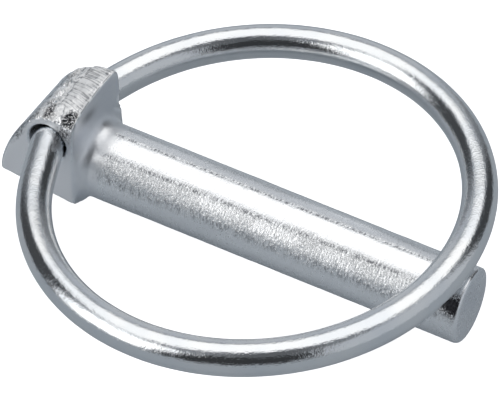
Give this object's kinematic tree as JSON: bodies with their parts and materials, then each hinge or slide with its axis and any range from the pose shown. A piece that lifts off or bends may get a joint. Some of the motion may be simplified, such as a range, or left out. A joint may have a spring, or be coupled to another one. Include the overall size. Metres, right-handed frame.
{
  "type": "linch pin",
  "caption": "Steel linch pin: round shank with a forged head, and a spring wire ring hinged in the head that closes over the shank near its tip.",
  "frame": {"origin": "on the shank's axis, at the shoulder where the head begins", "axes": "+X along the shank to its tip, +Z to the side of the shank that the closed ring lies on, Y across the head"},
  "size_m": [0.0656, 0.0594, 0.0161],
  "materials": {
    "forged_zinc": "zinc plated forging, mottled, satin",
    "wire_zinc": "bright zinc plated spring wire"
  },
  "bodies": {
    "pin": {"forged_pin": "forged_zinc"},
    "ring": {"spring_ring": "wire_zinc"}
  },
  "joints": [
    {"name": "ring_swing", "type": "hinge", "parent": "pin", "child": "ring", "pos_m": [-0.00325, 0, 0.0056], "axis": [-0.0834, -0.9965, 0], "range_deg": [0, 344]}
  ]
}
